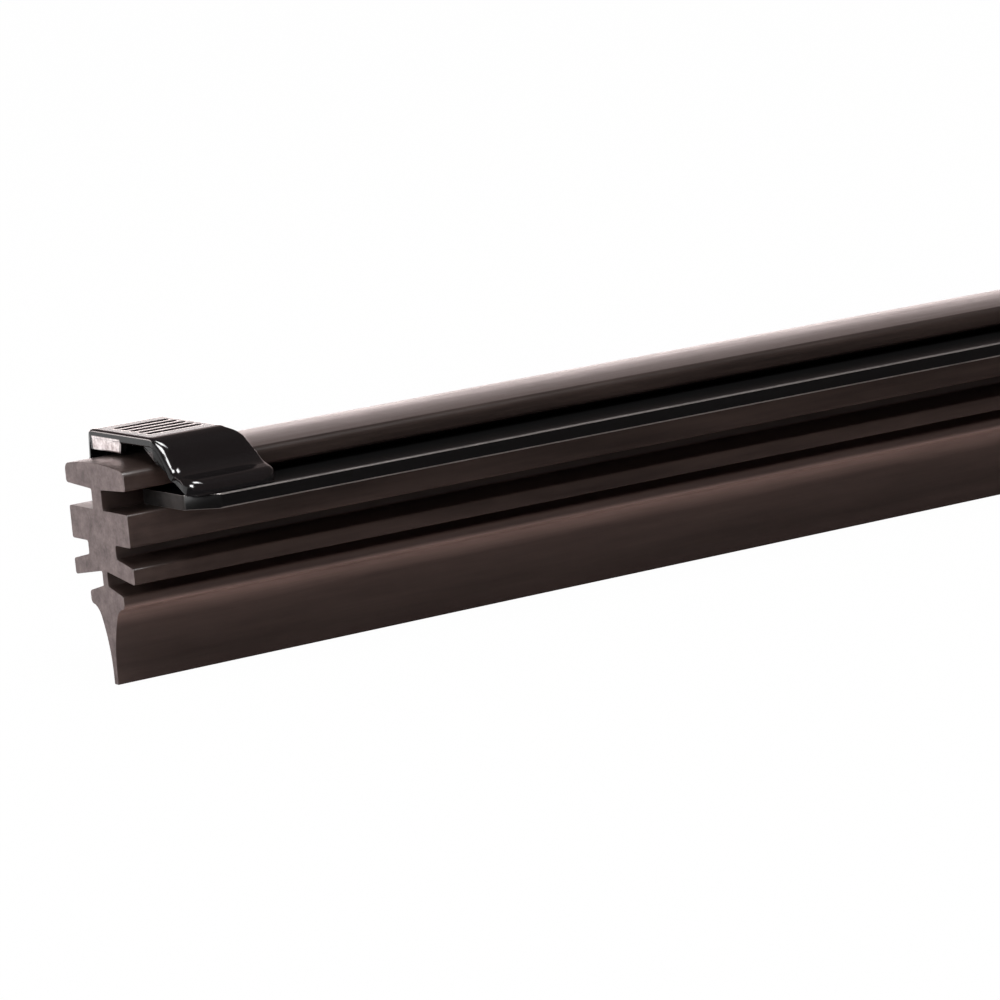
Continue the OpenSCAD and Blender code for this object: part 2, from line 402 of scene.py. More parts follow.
# %% The blank from above, counted from the front edge of its top
TOP_LEN = 5.1
FULL_LEN = 6.4
SWEPT_BACK = 0.5
# Where the swept edges meet the straight edges of the feet
FOOT_START = 5.0
TOP_CORNER = 0.45
PLAN_STEPS = 24
# Each row is a corner: its place along the blade, its place across it and its radius
plan = rounded([
    [0, -TOP_HALF + TOP_CORNER, TOP_CORNER],
    [0, TOP_HALF - TOP_CORNER, TOP_CORNER],
    [SWEPT_BACK, FOOT_START, 0.45],
    [SWEPT_BACK, FOOT_HALF, 1.15],
    [FULL_LEN, FOOT_HALF, 0.9],
    [FULL_LEN, FOOT_START, 0.45],
    [TOP_LEN, TOP_HALF - TOP_CORNER, TOP_CORNER],
    [TOP_LEN, -TOP_HALF + TOP_CORNER, TOP_CORNER],
], PLAN_STEPS)


def reach(across):
    """Where the blank starts and ends along the blade at a distance from its middle line."""
    # The outer edge itself is one long side, so a place just inside it is taken
    off = min(abs(across), FOOT_HALF - 0.0005)
    crossings = []
    for a, b in zip(plan, plan[1:] + plan[:1]):
        if min(a.y, b.y) <= off <= max(a.y, b.y) and a.y != b.y:
            crossings.append(a.x + (b.x - a.x) * (off - a.y) / (b.y - a.y))
    return min(crossings), max(crossings)


for across in (0, FOOT_START):
    print("blank at", across, "mm runs from", [round(abs(x), 2) for x in reach(across)])

# %% [markdown]
# ## The pressed grooves
# A row of plain grooves gives the thumb a grip on the clip's top. They could be a bump in the
# material, but a bump is only a trick of the light, so they are real dips in the mesh. They are
# pressed, so their walls are soft: each one has round ends, and its depth falls off smoothly.

# %% Grooves on top of the clip
GROOVE_PITCH = 0.98
GROOVES = [(k - 2) * GROOVE_PITCH for k in range(5)]
GROOVE_HALF = 0.18
GROOVE_RUN = 1.57
GROOVE_DEPTH = 0.16
GROOVE_SOFT = 0.07


def groove_dip(x, y):
    """How deep the grooves are at a place on the top."""
    dip = 0
    for middle in GROOVES:
        along = max(abs(x - TOP_LEN / 2) - GROOVE_RUN, 0)
        off = math.hypot(along, y - middle) - GROOVE_HALF
        t = min(max((GROOVE_SOFT - off) / (2 * GROOVE_SOFT), 0), 1)
        dip = max(dip, t * t * (3 - 2 * t))
    return dip * GROOVE_DEPTH


print("grooves:", len(GROOVES), "of", round(2 * (GROOVE_RUN + GROOVE_HALF), 2), "mm")

# %% [markdown]
# ## The clip's sheet
# At each pair of points a loop runs round the sheet: back along the outer face, over the rear rim
# to the inner face, forward, and over the front rim. Thick enamel rounds the rims. A bevel
# modifier would stumble over the many short edges there, so the rims are arcs of the loop itself.

# %% One loop round the sheet
COLUMNS = 60
OUTER_RIM = 0.16
REAR_RIM = 0.38
INNER_RIM = 0.12
# The most of the sheet's thickness that the outer and the inner arc of a rim may take
OUTER_SHARE = 0.65
INNER_SHARE = 0.25
RIM_DEGREES = range(0, 91, 10)
# The lip turns in from here outwards, and its bend has grown to its full radius 0.8 mm on
LIP_BEND = 0.4
LIP_START = 3.7
LIP_GROWTH = 0.8


def rim_round(outer_radius, thick):
    """How far back and how deep the points of a rim lie, from the outer to the inner face."""
    rim = []
    for radius in (min(outer_radius, thick * OUTER_SHARE), min(INNER_RIM, thick * INNER_SHARE)):
        for a in (math.radians(degrees) for degrees in RIM_DEGREES):
            rim.append((radius * (1 - math.sin(a)), radius * (1 - math.cos(a))))
    half = len(rim) // 2
    return rim[:half] + [(back, thick - depth) for back, depth in reversed(rim[half:])]


def clip_loop(outer, inner):
    """The points (x, across, up) of the loop round the sheet at one pair of points."""
    thick = (inner - outer).length
    # Where the lip turns in, the front edge is a bend and not a cut, so it is rounder
    bent = min(max((-outer.x - LIP_START) / LIP_GROWTH, 0), 1)
    front_radius = OUTER_RIM + (LIP_BEND - OUTER_RIM) * bent
    front_rim, rear_rim = [], []
    for (back, depth), (rear_back, rear_depth) in zip(
            rim_round(front_radius, thick), rim_round(REAR_RIM, thick)):
        p = outer.lerp(inner, depth / thick)
        q = outer.lerp(inner, rear_depth / thick)
        front_rim.append(Vector((reach(p.x)[0] + back, p.x, p.y)))
        rear_rim.append(Vector((reach(q.x)[1] - rear_back, q.x, q.y)))
    loop = []
    for i in range(COLUMNS):
        spot = front_rim[0].lerp(rear_rim[0], i / COLUMNS)
        # Only the flat top is grooved, not the bends beside it
        if outer.y > CLIP_TOP - 0.001:
            spot.z -= groove_dip(spot.x, spot.y)
        loop.append(spot)
    loop += rear_rim
    loop += [rear_rim[-1].lerp(front_rim[-1], i / COLUMNS) for i in range(1, COLUMNS)]
    return loop + list(reversed(front_rim))[:-1]


print("points in a loop:", len(clip_loop(*pairs[0])))

# %% [markdown]
# ## The tab and the turned-in lip
# At its front the clip has a tab, bent down over one half of the rubber's head, and a lip that
# turns in at the other corner. Folding them out of the same grid would crush its quads, so they
# are small plates of their own that sink into the sheet, as its bent corners do.

# %% A small plate with rounded rims
PLATE_RIM = 0.12
PLATE_RIM_STEPS = 5
PLATE_STEP = 0.15
# The front is filled with rings, so that it can follow a curved edge without creases
PLATE_RINGS = (0.03, 0.25, 0.5, 0.75)
TAB_T = 0.45
# The plates' fronts stay this far behind the sheet's, so that no two faces share a place
BEHIND = 0.02
PLATE_TOP = CLIP_TOP - SHEET / 2
TAB_LOW = HEAD_TOP + 0.2
TAB = [[0.3, TAB_LOW, 0.12], [3.8, TAB_LOW, 0.12], [3.8, PLATE_TOP, 0], [0, PLATE_TOP, 0]]
TURNED_LIP = [[-4.05, PLATE_TOP, 0], [-4.66, 1.65, 0], [-2.0, PLATE_TOP, 0]]


def add_plate(mesh, place, corners, back_x, front_x):
    """A small plate with rounded rims, whose front lies where front_x says."""
    outline = []
    coarse = rounded(corners, CORNER_STEPS)
    for a, b in zip(coarse, coarse[1:] + coarse[:1]):
        parts = max(1, math.ceil((b - a).length / PLATE_STEP))
        outline += [a.lerp(b, k / parts) for k in range(parts)]
    middle = sum(outline, Vector((0, 0))) / len(outline)
    rings = []
    for share in PLATE_RINGS:
        rings.append([(front_x(p.x), p) for p in
                      (middle.lerp(q, share) for q in drawn_in(outline, PLATE_RIM))])
    for back, depth in rim_arc(PLATE_RIM, PLATE_RIM_STEPS):
        rings.append([(front_x(p.x) + back, p) for p in drawn_in(outline, depth)])
    rings.append([(back_x, p) for p in outline])
    made = [[mesh.verts.new(place(x, p.x, p.y)) for x, p in ring] for ring in rings]
    skinned(mesh, made)
    mesh.faces.new(made[0])
    mesh.faces.new(made[-1])


# %% [markdown]
# ## Both clips
# One function builds a whole clip. The clip at the other end is the same piece turned half round,
# not mirrored, because one press tool makes them all.

# %% One clip, and the same one turned round
STRIP_INSET = 2.62
CLIP_LEAD = 0.67
clip_front = -end_x + STRIP_INSET - CLIP_LEAD


def clip_mesh(turned):
    """One clip. The one at the other end is the same piece turned half round."""
    side = -1 if turned else 1

    def place(x, y, z):
        return Vector((side * (clip_front + x), side * y, z)) * MM

    mesh = bmesh.new()
    loops = [[mesh.verts.new(place(*spot)) for spot in clip_loop(*pair)] for pair in pairs]
    skinned(mesh, loops)
    mesh.faces.new(loops[0])
    mesh.faces.new(loops[-1])
    add_plate(mesh, place, TAB, TAB_T, lambda across: BEHIND)
    add_plate(mesh, place, TURNED_LIP, SWEPT_BACK / 2 + TAB_T,
              lambda across: reach(across)[0] + BEHIND)
    bmesh.ops.recalc_face_normals(mesh, faces=mesh.faces)
    return mesh


clip_pieces = {
    name: finished_piece(name, clip_mesh(turned), sharp_angle=60)
    for name, turned in (("clip_left", False), ("clip_right", True))}

# %% [markdown]
# ## The backing strips
# The strips are flat spring steel, slit from a coil. The CAD solids already have their shape, so
# they stay. Slit steel has a tiny broken edge, and here all edges have the same one, so a bevel
# modifier gives it to them. It needs one closed skin, which the weld makes first.

# %% Broken edges on the strips
BROKEN_EDGE = 0.1
for name in ("backing_strip_front", "backing_strip_back"):
    strip = frame["nodes"][name]
    weld = strip.modifiers.new("one skin", "WELD")
    weld.merge_threshold = 0.001 * MM
    broken = strip.modifiers.new("broken edge", "BEVEL")
    broken.limit_method = "ANGLE"
    broken.angle_limit = math.radians(40)
    broken.width = BROKEN_EDGE * MM
    broken.segments = 2
    strip.modifiers.new("flat faces stay flat", "WEIGHTED_NORMAL")
    print(name, "has", len(strip.modifiers), "modifiers")

# %% [markdown]
# ## Building materials from nodes
# A material could be wired up by hand in the shader editor, but a script can be read and run
# again. One small function adds a node, fills in its settings and joins what feeds it. Every
# finish below is a tree of such calls.

# %% A helper that adds one node
def add_node(tree, kind, settings=(), links=()):
    """Adds a node to a tree, sets its fields or sockets, and links outputs into its sockets."""
    node = tree.nodes.new(kind)
    for name, value in dict(settings).items():
        if isinstance(name, str) and hasattr(node, name):
            setattr(node, name, value)
        else:
            node.inputs[name].default_value = value
    for name, source in dict(links).items():
        tree.links.new(source, node.inputs[name])
    return node


def new_material(name):
    """An empty node material with that name."""
    material = bpy.data.materials.new(name)
    material.use_nodes = True
    material.node_tree.nodes.clear()
    return material


# Most values of a noise lie in this range, and a Map Range stretches it to 0 to 1
NOISE_RANGE = {"From Min": 0.3, "From Max": 0.7}

# %% [markdown]
# ## Extruded rubber
# Wiper rubber is a black compound of natural rubber, forced through a die and dusted with
# graphite. It looks brownish black and nearly matt. The die leaves fine lines along the blade.
# A pale band under the lip's shoulder and a paler wiping edge are painted light from below, and
# the cut ends are rough and greyer, a grey that is partly painted light from the left.
# A painted image would blur on a long thin part, so all of this is worked out from the place of
# each point in millimetres. A face that looks along the blade is a cut end.

# %% The rubber: place and direction
rubber = new_material("extruded_rubber")
tree = rubber.node_tree
place = add_node(tree, "ShaderNodeTexCoord")
in_mm = add_node(tree, "ShaderNodeVectorMath", {"operation": "SCALE", "Scale": 1 / MM},
                 {0: place.outputs["Object"]})
spot = add_node(tree, "ShaderNodeSeparateXYZ", {}, {0: in_mm.outputs[0]})
facing = add_node(tree, "ShaderNodeNewGeometry")
facing_parts = add_node(tree, "ShaderNodeSeparateXYZ", {}, {0: facing.outputs["True Normal"]})
end_wise = add_node(tree, "ShaderNodeMath", {"operation": "ABSOLUTE"},
                    {0: facing_parts.outputs["X"]})
is_cut = add_node(tree, "ShaderNodeMapRange", {"From Min": 0.5, "From Max": 0.9},
                  {"Value": end_wise.outputs[0]})

# %% [markdown]
# ## The rubber's patterns
# All four patterns are noises, squeezed or stretched to the size that each mark has. Real die
# lines are finer than 0.1 mm, too fine to show, so they are drawn a little coarser.

# %% The rubber: die lines, streaks, grain and mottles
# Die lines 0.12 mm apart that run on for 25 mm
stretch = add_node(tree, "ShaderNodeMapping", {"Scale": (0.04, 8, 8)},
                   {"Vector": in_mm.outputs[0]})
die_lines = add_node(tree, "ShaderNodeTexNoise", {"Scale": 1, "Detail": 3, "Roughness": 0.6},
                     {"Vector": stretch.outputs[0]})
# Soft streaks of graphite, 1 mm high and 12 mm long
streak_space = add_node(tree, "ShaderNodeMapping", {"Scale": (0.08, 1.1, 1.1)},
                        {"Vector": in_mm.outputs[0]})
streaks = add_node(tree, "ShaderNodeTexNoise", {"Scale": 1, "Detail": 5, "Roughness": 0.7},
                   {"Vector": streak_space.outputs[0]})
# The cut face has a torn grain of 0.2 mm and mottles of 0.8 mm
grain = add_node(tree, "ShaderNodeTexNoise", {"Scale": 5, "Detail": 5, "Roughness": 0.75},
                 {"Vector": in_mm.outputs[0]})
mottle = add_node(tree, "ShaderNodeTexNoise", {"Scale": 1.2, "Detail": 4, "Roughness": 0.6},
                  {"Vector": in_mm.outputs[0]})
mottle_share = add_node(tree, "ShaderNodeMapRange", NOISE_RANGE,
                        {"Value": mottle.outputs["Fac"]})
streak_share = add_node(tree, "ShaderNodeMapRange", NOISE_RANGE,
                        {"Value": streaks.outputs["Fac"]})
print("rubber patterns:", len(tree.nodes), "nodes so far")

# %% [markdown]
# ## The rubber's pale places and painted light
# A band below the lip's shoulder is painted light from below, and so is a paler band at the
# wiping edge. The whole lip is a little paler from its shoulder down, and the sides are paler in
# patches near the cut ends. Each of these is a share from 0 to 1, and the largest share wins at
# every point.

# %% The rubber: painted light under the shoulder and at the edge, paler lip and ends
# The painted light from below starts at the shoulder's lower edge, and fades out over 2 mm below
# it
LIT_BAND_TOP, LIT_BAND_FULL = -5.75, -6.1
LIT_BAND_FADING, LIT_BAND_GONE = -6.0, -7.9
# The whole lip is a little paler from its shoulder down
LIP_PALER = 0.14
# Painted light from below makes the wiping edge paler, from a height of -9 mm down
EDGE_LIGHT_TOP, EDGE_LIGHT_FULL = -9.0, -10.8
EDGE_LIGHT = 0.33
# The sides turn paler in patches over the last 9 mm before each cut end
END_PALING_RUN = 9
END_PALING = 0.09

# Painted light from below: a paler band on the flank under the shoulder, broken up by the streaks
lit_band_fade = add_node(tree, "ShaderNodeMapRange", {
    "interpolation_type": "SMOOTHSTEP", "From Min": LIT_BAND_GONE, "From Max": LIT_BAND_FADING},
    {"Value": spot.outputs["Z"]})
lit_band_start = add_node(tree, "ShaderNodeMapRange", {
    "From Min": LIT_BAND_TOP, "From Max": LIT_BAND_FULL}, {"Value": spot.outputs["Z"]})
lit_band = add_node(tree, "ShaderNodeMath", {"operation": "MULTIPLY"},
                      {0: lit_band_fade.outputs[0], 1: lit_band_start.outputs[0]})
lit_band_break = add_node(tree, "ShaderNodeMapRange", {
    "From Min": 0.3, "From Max": 0.65, "To Min": 0.7, "To Max": 1.0},
    {"Value": streaks.outputs["Fac"]})
shoulder_underlight = add_node(tree, "ShaderNodeMath", {"operation": "MULTIPLY"},
                          {0: lit_band.outputs[0], 1: lit_band_break.outputs[0]})
lip_paler = add_node(tree, "ShaderNodeMapRange", {
    "From Min": LIP_TOP - 0.05, "From Max": LIP_TOP - 0.15, "To Max": LIP_PALER},
    {"Value": spot.outputs["Z"]})
# Painted light at the wiping edge
edge_underlight = add_node(tree, "ShaderNodeMapRange", {
    "From Min": EDGE_LIGHT_TOP, "From Max": EDGE_LIGHT_FULL, "To Max": EDGE_LIGHT},
    {"Value": spot.outputs["Z"]})
lip_paler_and_edge_light = add_node(tree, "ShaderNodeMath", {"operation": "MAXIMUM"},
                    {0: lip_paler.outputs[0], 1: edge_underlight.outputs[0]})
lip_tone_and_light = add_node(tree, "ShaderNodeMath", {"operation": "MAXIMUM"},
                     {0: shoulder_underlight.outputs[0], 1: lip_paler_and_edge_light.outputs[0]})
along = add_node(tree, "ShaderNodeMath", {"operation": "ABSOLUTE"}, {0: spot.outputs["X"]})
near_cut = add_node(tree, "ShaderNodeMapRange", {
    "From Min": end_x - END_PALING_RUN, "From Max": end_x, "To Max": END_PALING},
    {"Value": along.outputs[0]})
end_paling = add_node(tree, "ShaderNodeMath", {"operation": "MULTIPLY"},
                   {0: near_cut.outputs[0], 1: mottle_share.outputs[0]})
paling_and_light = add_node(tree, "ShaderNodeMath", {"operation": "MAXIMUM"},
                 {0: lip_tone_and_light.outputs[0], 1: end_paling.outputs[0]})

# %% [markdown]
# ## The rubber's tones and its shader
# The skin lies between two brownish blacks, and the paler places and the painted light go
# towards a warm grey. The cut face is a lighter grey, partly its own and partly painted light.
# Rubber has an IOR near 1.5. The polished die leaves the skin smoother than the cut, which the
# knife tears open, so the roughness follows the same mask as the colour.

# %% The rubber: tones, relief and shader
CUT_ROUGHNESS = 0.6

skin_tone = add_node(tree, "ShaderNodeMix", {
    "data_type": "RGBA", 6: linear("#1c1513"), 7: linear("#332824")},
    {0: streak_share.outputs[0]})
# The painted light under the shoulder and at the wiping edge, and the paler lip and ends, all mix
# towards this warm grey
paled_and_lit_tone = add_node(tree, "ShaderNodeMix", {"data_type": "RGBA", 7: linear("#6e5c57")},
                   {0: paling_and_light.outputs[0], 6: skin_tone.outputs[2]})
# The cut face's lighter grey is partly its own colour and partly painted light from the lamp at
# the left
cut_base = add_node(tree, "ShaderNodeMix", {
    "data_type": "RGBA", 6: linear("#504544"), 7: linear("#796d6c")},
    {0: mottle_share.outputs[0]})
cut_grain = add_node(tree, "ShaderNodeMapRange", {
    **NOISE_RANGE, "To Min": 0.72, "To Max": 1.25}, {"Value": grain.outputs["Fac"]})
cut_tone = add_node(tree, "ShaderNodeVectorMath", {"operation": "SCALE"},
                    {0: cut_base.outputs[2], "Scale": cut_grain.outputs[0]})
tone = add_node(tree, "ShaderNodeMix", {"data_type": "RGBA"}, {
    0: is_cut.outputs[0], 6: paled_and_lit_tone.outputs[2], 7: cut_tone.outputs[0]})
relief = add_node(tree, "ShaderNodeMix", {"data_type": "FLOAT"}, {
    0: is_cut.outputs[0], 2: die_lines.outputs["Fac"], 3: grain.outputs["Fac"]})
bump = add_node(tree, "ShaderNodeBump", {"Strength": 0.3, "Distance": 0.03 * MM},
                {"Height": relief.outputs[0]})
skin_roughness = add_node(tree, "ShaderNodeMapRange", {
    **NOISE_RANGE, "To Min": 0.28, "To Max": 0.37}, {"Value": streaks.outputs["Fac"]})
roughness = add_node(tree, "ShaderNodeMix", {"data_type": "FLOAT", 3: CUT_ROUGHNESS},
                     {0: is_cut.outputs[0], 2: skin_roughness.outputs[0]})
shader = add_node(tree, "ShaderNodeBsdfPrincipled", {"IOR": 1.5}, {
    "Base Color": tone.outputs[2], "Roughness": roughness.outputs[0],
    "Normal": bump.outputs[0]})
add_node(tree, "ShaderNodeOutputMaterial", {}, {"Surface": shader.outputs[0]})
print("extruded rubber:", len(tree.nodes), "nodes")

# %% [markdown]
# ## Satin black spring steel
# The strips are dip coated in a thin satin black. On the slit edges a fine grey line of metal is
# partly coat worn off and partly a painted highlight, and rolling leaves faint lines along the
# strip. The edges could be found from the mesh's pointiness, but the broken edges are the only
# faces that slope, so their normals tell them apart at any size.

# %% The strips: coat and broken edges
strip_coat = new_material("satin_black_steel")
tree = strip_coat.node_tree
place = add_node(tree, "ShaderNodeTexCoord")
in_mm = add_node(tree, "ShaderNodeVectorMath", {"operation": "SCALE", "Scale": 1 / MM},
                 {0: place.outputs["Object"]})
rolled = add_node(tree, "ShaderNodeMapping", {"Scale": (0.05, 5, 5)},
                  {"Vector": in_mm.outputs[0]})
roll_lines = add_node(tree, "ShaderNodeTexNoise", {"Scale": 1, "Detail": 3},
                      {"Vector": rolled.outputs[0]})
coat_tone = add_node(tree, "ShaderNodeMix", {
    "data_type": "RGBA", 6: linear("#080808"), 7: linear("#0f0f10")},
    {0: roll_lines.outputs["Fac"]})
# Where a surface faces neither straight up or down nor straight out, it is a broken edge
facing = add_node(tree, "ShaderNodeNewGeometry")
facing_parts = add_node(tree, "ShaderNodeSeparateXYZ", {}, {0: facing.outputs["True Normal"]})
steep = add_node(tree, "ShaderNodeMath", {"operation": "ABSOLUTE"},
                 {0: facing_parts.outputs["Z"]})
past_flat = add_node(tree, "ShaderNodeMapRange", {"From Min": 0.98, "From Max": 0.9},
                     {"Value": steep.outputs[0]})
past_wall = add_node(tree, "ShaderNodeMapRange", {"From Min": 0.1, "From Max": 0.25},
                     {"Value": steep.outputs[0]})
long_edge = add_node(tree, "ShaderNodeMath", {"operation": "MULTIPLY"},
                     {0: past_flat.outputs[0], 1: past_wall.outputs[0]})
# The cut ends, which face along the blade, are a little grey too: partly scuffs and partly painted
# light from the left
end_wise = add_node(tree, "ShaderNodeMath", {"operation": "ABSOLUTE"},
                    {0: facing_parts.outputs["X"]})
at_end = add_node(tree, "ShaderNodeMapRange", {
    "From Min": 0.72, "From Max": 0.85, "To Max": 0.14}, {"Value": end_wise.outputs[0]})
edge = add_node(tree, "ShaderNodeMath", {"operation": "MAXIMUM"},
                {0: long_edge.outputs[0], 1: at_end.outputs[0]})

# %% [markdown]
# ## The strips' wear, painted highlight and their shader
# The coat chips off the edges in patches, so a noise breaks the grey line up. Where the grey line
# of worn coat and painted highlight lies, the surface is a metal, and elsewhere it is a coat. A
# clean coat has an IOR near 1.5, but this one is dull with graphite from the rubber, and mirrors
# less.

# %% The strips: chips and shader
chips = add_node(tree, "ShaderNodeTexNoise", {"Scale": 0.6, "Detail": 6, "Roughness": 0.7},
                 {"Vector": in_mm.outputs[0]})
chip_share = add_node(tree, "ShaderNodeMapRange", {
    "From Min": 0.35, "From Max": 0.65, "To Min": 0.4, "To Max": 1.0},
    {"Value": chips.outputs["Fac"]})
# The grey line is partly coat worn off and partly a painted highlight along the edges
wear_and_highlight = add_node(tree, "ShaderNodeMath", {"operation": "MULTIPLY"},
                {0: edge.outputs[0], 1: chip_share.outputs[0]})
wear_and_highlight_tone = add_node(tree, "ShaderNodeMix", {"data_type": "RGBA", 7: linear("#9a9694")},
                     {0: wear_and_highlight.outputs[0], 6: coat_tone.outputs[2]})
bump = add_node(tree, "ShaderNodeBump", {"Strength": 0.15, "Distance": 0.02 * MM},
                {"Height": roll_lines.outputs["Fac"]})
roughness = add_node(tree, "ShaderNodeMapRange", {"To Min": 0.3, "To Max": 0.42},
                     {"Value": roll_lines.outputs["Fac"]})
shader = add_node(tree, "ShaderNodeBsdfPrincipled", {"IOR": 1.22}, {
    "Base Color": wear_and_highlight_tone.outputs[2], "Roughness": roughness.outputs[0],
    "Metallic": wear_and_highlight.outputs[0], "Normal": bump.outputs[0]})
add_node(tree, "ShaderNodeOutputMaterial", {}, {"Surface": shader.outputs[0]})
print("satin black steel:", len(tree.nodes), "nodes")

# %% [markdown]
# ## Gloss black enamel
# The clips are stove enamelled: a thick glossy black skin that dries with a faint orange peel.
# Grazing light turns it almost white. The tab's front face is a painted bright patch: near-white
# metal that shines white. The tab could have a material of its own, but the bright metal and the
# enamel share one surface there, so one material mixes them by place.

# %% The clips: orange peel and the place of the tab
enamel = new_material("gloss_black_enamel")
tree = enamel.node_tree
place = add_node(tree, "ShaderNodeTexCoord")
in_mm = add_node(tree, "ShaderNodeVectorMath", {"operation": "SCALE", "Scale": 1 / MM},
                 {0: place.outputs["Object"]})
spot = add_node(tree, "ShaderNodeSeparateXYZ", {}, {0: in_mm.outputs[0]})
# Orange peel about 0.8 mm across
peel = add_node(tree, "ShaderNodeTexNoise", {"Scale": 1.2, "Detail": 2},
                {"Vector": in_mm.outputs[0]})
bump = add_node(tree, "ShaderNodeBump", {"Strength": 0.1, "Distance": 0.05 * MM},
                {"Height": peel.outputs["Fac"]})
# The tab stops short of this distance from the middle line, and the skirts begin beyond it
TAB_REACH = 3.5
# On both clips x times y is negative on the tab's side, and x is about 148 mm there
TAB_SIDE = -20.0
# Only the first 0.1 mm of the clip, counted from its front, belongs to the tab's face
FACE_DEPTH = 0.1

across = add_node(tree, "ShaderNodeMath", {"operation": "ABSOLUTE"}, {0: spot.outputs["Y"]})
inside = add_node(tree, "ShaderNodeMapRange", {
    "From Min": TAB_REACH + 0.05, "From Max": TAB_REACH - 0.05}, {"Value": across.outputs[0]})
x_times_y = add_node(tree, "ShaderNodeMath", {"operation": "MULTIPLY"},
                     {0: spot.outputs["X"], 1: spot.outputs["Y"]})
tab_half = add_node(tree, "ShaderNodeMath", {"operation": "LESS_THAN", 1: TAB_SIDE},
                    {0: x_times_y.outputs[0]})
along = add_node(tree, "ShaderNodeMath", {"operation": "ABSOLUTE"}, {0: spot.outputs["X"]})
at_front = add_node(tree, "ShaderNodeMath", {
    "operation": "GREATER_THAN", 1: -clip_front - FACE_DEPTH}, {0: along.outputs[0]})
under_top = add_node(tree, "ShaderNodeMapRange", {
    "From Min": CLIP_TOP - 0.36, "From Max": CLIP_TOP - 0.42}, {"Value": spot.outputs["Z"]})
tab_front = add_node(tree, "ShaderNodeMath", {"operation": "MULTIPLY"},
                     {0: tab_half.outputs[0], 1: at_front.outputs[0]})
tab_face = add_node(tree, "ShaderNodeMath", {"operation": "MULTIPLY"},
                    {0: tab_front.outputs[0], 1: inside.outputs[0]})
# The tab's front face, where the painted bright patch goes
bright_tab = add_node(tree, "ShaderNodeMath", {"operation": "MULTIPLY"},
                {0: tab_face.outputs[0], 1: under_top.outputs[0]})

# %% [markdown]
# ## Enamel beside the painted bright tab
# Enamel is a kind of glass, smooth and with an IOR near 1.5. The tab's painted bright face is a
# metal, so its own colour tints what it mirrors, and its mottle is a noise between two light
# greys.

# %% The clips: enamel, the painted bright tab and shader
ENAMEL_ROUGHNESS = 0.13
BRIGHT_TAB_ROUGHNESS = 0.32

tab_mottle = add_node(tree, "ShaderNodeTexNoise", {"Scale": 2.0, "Detail": 4, "Roughness": 0.6},
                  {"Vector": in_mm.outputs[0]})
tab_mottle_share = add_node(tree, "ShaderNodeMapRange", {"From Min": 0.35, "From Max": 0.6},
                       {"Value": tab_mottle.outputs["Fac"]})
# Painted light: the tab's face is near-white metal, so that it shines white
bright_tab_tone = add_node(tree, "ShaderNodeMix", {
    "data_type": "RGBA", 6: linear("#b9adac"), 7: linear("#f6eeed")},
    {0: tab_mottle_share.outputs[0]})
clip_tone = add_node(tree, "ShaderNodeMix", {"data_type": "RGBA", 6: linear("#0f0e0f")},
                     {0: bright_tab.outputs[0], 7: bright_tab_tone.outputs[2]})
clip_roughness = add_node(tree, "ShaderNodeMix", {
    "data_type": "FLOAT", 2: ENAMEL_ROUGHNESS, 3: BRIGHT_TAB_ROUGHNESS}, {0: bright_tab.outputs[0]})
shader = add_node(tree, "ShaderNodeBsdfPrincipled", {"IOR": 1.52}, {
    "Base Color": clip_tone.outputs[2], "Roughness": clip_roughness.outputs[0],
    "Metallic": bright_tab.outputs[0], "Normal": bump.outputs[0]})
add_node(tree, "ShaderNodeOutputMaterial", {}, {"Surface": shader.outputs[0]})
print("gloss black enamel:", len(tree.nodes), "nodes")

# %% [markdown]
# ## Putting the pieces on the frame
# Each made piece rides on the one body and takes its finish, and the CAD solid that it stands for
# is hidden. The strips are CAD solids, so they only change finish.

# %% Pieces, slots and finishes
rubber_profile.data.materials.append(rubber)
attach(rubber_profile, "root")
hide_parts("wiping_rubber")

for name, node in (("clip_left", "end_clip_left"), ("clip_right", "end_clip_right")):
    piece = clip_pieces[name]
    piece.data.materials.append(enamel)
    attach(piece, "root")
    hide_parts(node)

for name in ("backing_strip_front", "backing_strip_back"):
    frame["nodes"][name].material_slots[0].material = strip_coat
print("pieces:", rubber_profile.name, *clip_pieces)

# %% [markdown]
# ## Floor and backdrop
# The photograph shows pure white and no horizon. More lamps would bleach the blade before the
# floor turned white, so the floor is a pale sheet that shows itself as white to the camera, and
# lets through a trace of the soft shadow under the lip. A white sweep stands behind the blade,
# and the glossy tops mirror it.

# %% White paper
# The camera sees this much of the plain white, and the rest is paper with its shadow
FLOOR_SHOWN = 0.99


def paper_material(name, mirrored):
    """Matt paper, plain white to the camera, and as bright as mirrored in glossy surfaces."""
    material = new_material(name)
    tree = material.node_tree
    ray = add_node(tree, "ShaderNodeLightPath")
    matt = add_node(tree, "ShaderNodeBsdfDiffuse", {"Color": linear("#e8e8e8")})
    strength = add_node(tree, "ShaderNodeMapRange", {"To Min": 1.0, "To Max": mirrored},
                        {"Value": ray.outputs["Is Glossy Ray"]})
    shown = add_node(tree, "ShaderNodeEmission", {"Color": (1, 1, 1, 1)},
                     {"Strength": strength.outputs[0]})
    direct = add_node(tree, "ShaderNodeMath", {"operation": "MULTIPLY", 1: FLOOR_SHOWN},
                      {0: ray.outputs["Is Camera Ray"]})
    amount = add_node(tree, "ShaderNodeMath", {"operation": "MAXIMUM"},
                      {0: direct.outputs[0], 1: ray.outputs["Is Glossy Ray"]})
    both = add_node(tree, "ShaderNodeMixShader", {},
                    {0: amount.outputs[0], 1: matt.outputs[0], 2: shown.outputs[0]})
    add_node(tree, "ShaderNodeOutputMaterial", {}, {"Surface": both.outputs[0]})
    return material


